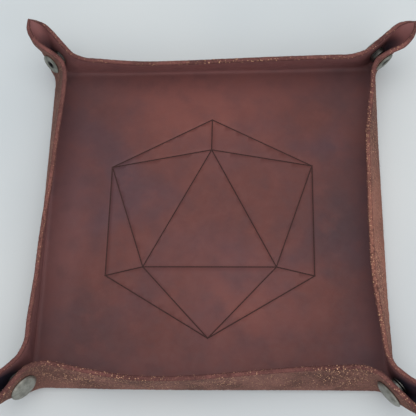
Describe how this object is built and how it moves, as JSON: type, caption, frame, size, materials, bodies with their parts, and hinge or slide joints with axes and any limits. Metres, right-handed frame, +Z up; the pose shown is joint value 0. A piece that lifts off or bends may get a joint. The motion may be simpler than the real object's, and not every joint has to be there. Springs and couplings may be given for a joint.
{
  "type": "dice tray",
  "caption": "Square leather dice tray with low walls, corners pinched by press studs and a line figure on the floor; the studs pull apart and the walls fold down.",
  "frame": {"origin": "under the middle of the floor, on the surface that the tray stands on", "axes": "+Z up, +X to the right and +Y to the back of the tray, the front being the bowed wall, whose ears carry the caps"},
  "size_m": [0.2162, 0.2109, 0.0354],
  "materials": {
    "leather_floor": "satin, mottled red-brown grain side with engraved lines",
    "leather_wall": "satin grain side inside, fibrous flesh side and cut edge outside",
    "leather_ear": "satin grain side inside the pinch, fibrous flesh side outside",
    "snap_cap": "satin grey",
    "snap_inner": "dark, worn bright at the edges",
    "snap_spring": "bright wire",
    "snap_eyelet": "satin grey"
  },
  "bodies": {
    "floor": {"leather_floor": "leather_floor"},
    "wall_front": {"leather_wall_front": "leather_wall"},
    "wall_back": {"leather_wall_back": "leather_wall"},
    "wall_left": {"leather_wall_left": "leather_wall"},
    "wall_right": {"leather_wall_right": "leather_wall"},
    "ear_cap_side_front_left": {"leather_ear_cap_side_front_left": "leather_ear", "snap_cap_front_left": "snap_cap", "snap_socket_front_left": "snap_inner", "snap_spring_front_left": "snap_spring"},
    "ear_stud_side_front_left": {"leather_ear_stud_side_front_left": "leather_ear", "snap_stud_front_left": "snap_inner", "snap_eyelet_front_left": "snap_eyelet"},
    "ear_cap_side_front_right": {"leather_ear_cap_side_front_right": "leather_ear", "snap_cap_front_right": "snap_cap", "snap_socket_front_right": "snap_inner", "snap_spring_front_right": "snap_spring"},
    "ear_stud_side_front_right": {"leather_ear_stud_side_front_right": "leather_ear", "snap_stud_front_right": "snap_inner", "snap_eyelet_front_right": "snap_eyelet"},
    "ear_cap_side_back_left": {"leather_ear_cap_side_back_left": "leather_ear", "snap_cap_back_left": "snap_cap", "snap_socket_back_left": "snap_inner", "snap_spring_back_left": "snap_spring"},
    "ear_stud_side_back_left": {"leather_ear_stud_side_back_left": "leather_ear", "snap_stud_back_left": "snap_inner", "snap_eyelet_back_left": "snap_eyelet"},
    "ear_cap_side_back_right": {"leather_ear_cap_side_back_right": "leather_ear", "snap_cap_back_right": "snap_cap", "snap_socket_back_right": "snap_inner", "snap_spring_back_right": "snap_spring"},
    "ear_stud_side_back_right": {"leather_ear_stud_side_back_right": "leather_ear", "snap_stud_back_right": "snap_inner", "snap_eyelet_back_right": "snap_eyelet"}
  },
  "joints": [
    {"name": "wall_bend_front", "type": "hinge", "parent": "floor", "child": "wall_front", "pos_m": [0, -0.0889, 0.0012], "axis": [1, 0, 0], "range_deg": [0, 86]},
    {"name": "wall_bend_back", "type": "hinge", "parent": "floor", "child": "wall_back", "pos_m": [0, 0.0889, 0.0012], "axis": [-1, 0, 0], "range_deg": [0, 86]},
    {"name": "wall_bend_left", "type": "hinge", "parent": "floor", "child": "wall_left", "pos_m": [-0.0889, 0, 0.0012], "axis": [0, -1, 0], "range_deg": [0, 86]},
    {"name": "wall_bend_right", "type": "hinge", "parent": "floor", "child": "wall_right", "pos_m": [0.0889, 0, 0.0012], "axis": [0, 1, 0], "range_deg": [0, 86]},
    {"name": "ear_bend_front_left", "type": "hinge", "parent": "wall_front", "child": "ear_cap_side_front_left", "pos_m": [-0.08423, -0.0889, 0.0012], "axis": [-0.1332, -0.3794, -0.9156], "range_deg": [0, 41.62]},
    {"name": "corner_fold_front_left", "type": "hinge", "parent": "ear_cap_side_front_left", "child": "ear_stud_side_front_left", "pos_m": [-0.08921, -0.08936, 0.00081], "axis": [-0.4822, -0.3647, 0.7965], "range_deg": [0, 131.49]},
    {"name": "ear_bend_front_right", "type": "hinge", "parent": "wall_front", "child": "ear_cap_side_front_right", "pos_m": [0.08423, -0.0889, 0.0012], "axis": [-0.2532, 0.2989, 0.9201], "range_deg": [0, 47.04]},
    {"name": "corner_fold_front_right", "type": "hinge", "parent": "ear_cap_side_front_right", "child": "ear_stud_side_front_right", "pos_m": [0.08925, -0.08932, 0.00081], "axis": [-0.3718, 0.4505, -0.8117], "range_deg": [0, 136.74]},
    {"name": "ear_bend_back_left", "type": "hinge", "parent": "wall_back", "child": "ear_cap_side_back_left", "pos_m": [-0.08423, 0.0889, 0.0012], "axis": [0.4336, -0.178, 0.8834], "range_deg": [0, 56.5]},
    {"name": "corner_fold_back_left", "type": "hinge", "parent": "ear_cap_side_back_left", "child": "ear_stud_side_back_left", "pos_m": [-0.08939, 0.08925, 0.00089], "axis": [0.2507, -0.4114, -0.8763], "range_deg": [0, 144.31]},
    {"name": "ear_bend_back_right", "type": "hinge", "parent": "wall_back", "child": "ear_cap_side_back_right", "pos_m": [0.08423, 0.0889, 0.0012], "axis": [0.1787, 0.3105, -0.9336], "range_deg": [0, 38.87]},
    {"name": "corner_fold_back_right", "type": "hinge", "parent": "ear_cap_side_back_right", "child": "ear_stud_side_back_right", "pos_m": [0.08929, 0.08929, 0.00081], "axis": [0.514, 0.2989, 0.804], "range_deg": [0, 141.3]}
  ],
  "couplings": [
    {"joint": "wall_bend_back", "follows": "wall_bend_front", "ratio": 1},
    {"joint": "wall_bend_left", "follows": "wall_bend_front", "ratio": 1},
    {"joint": "wall_bend_right", "follows": "wall_bend_front", "ratio": 1},
    {"joint": "ear_bend_front_left", "follows": "wall_bend_front", "ratio": 0.484},
    {"joint": "corner_fold_front_left", "follows": "wall_bend_front", "ratio": 1.529},
    {"joint": "ear_bend_front_right", "follows": "wall_bend_front", "ratio": 0.547},
    {"joint": "corner_fold_front_right", "follows": "wall_bend_front", "ratio": 1.59},
    {"joint": "ear_bend_back_left", "follows": "wall_bend_front", "ratio": 0.657},
    {"joint": "corner_fold_back_left", "follows": "wall_bend_front", "ratio": 1.678},
    {"joint": "ear_bend_back_right", "follows": "wall_bend_front", "ratio": 0.452},
    {"joint": "corner_fold_back_right", "follows": "wall_bend_front", "ratio": 1.643}
  ]
}
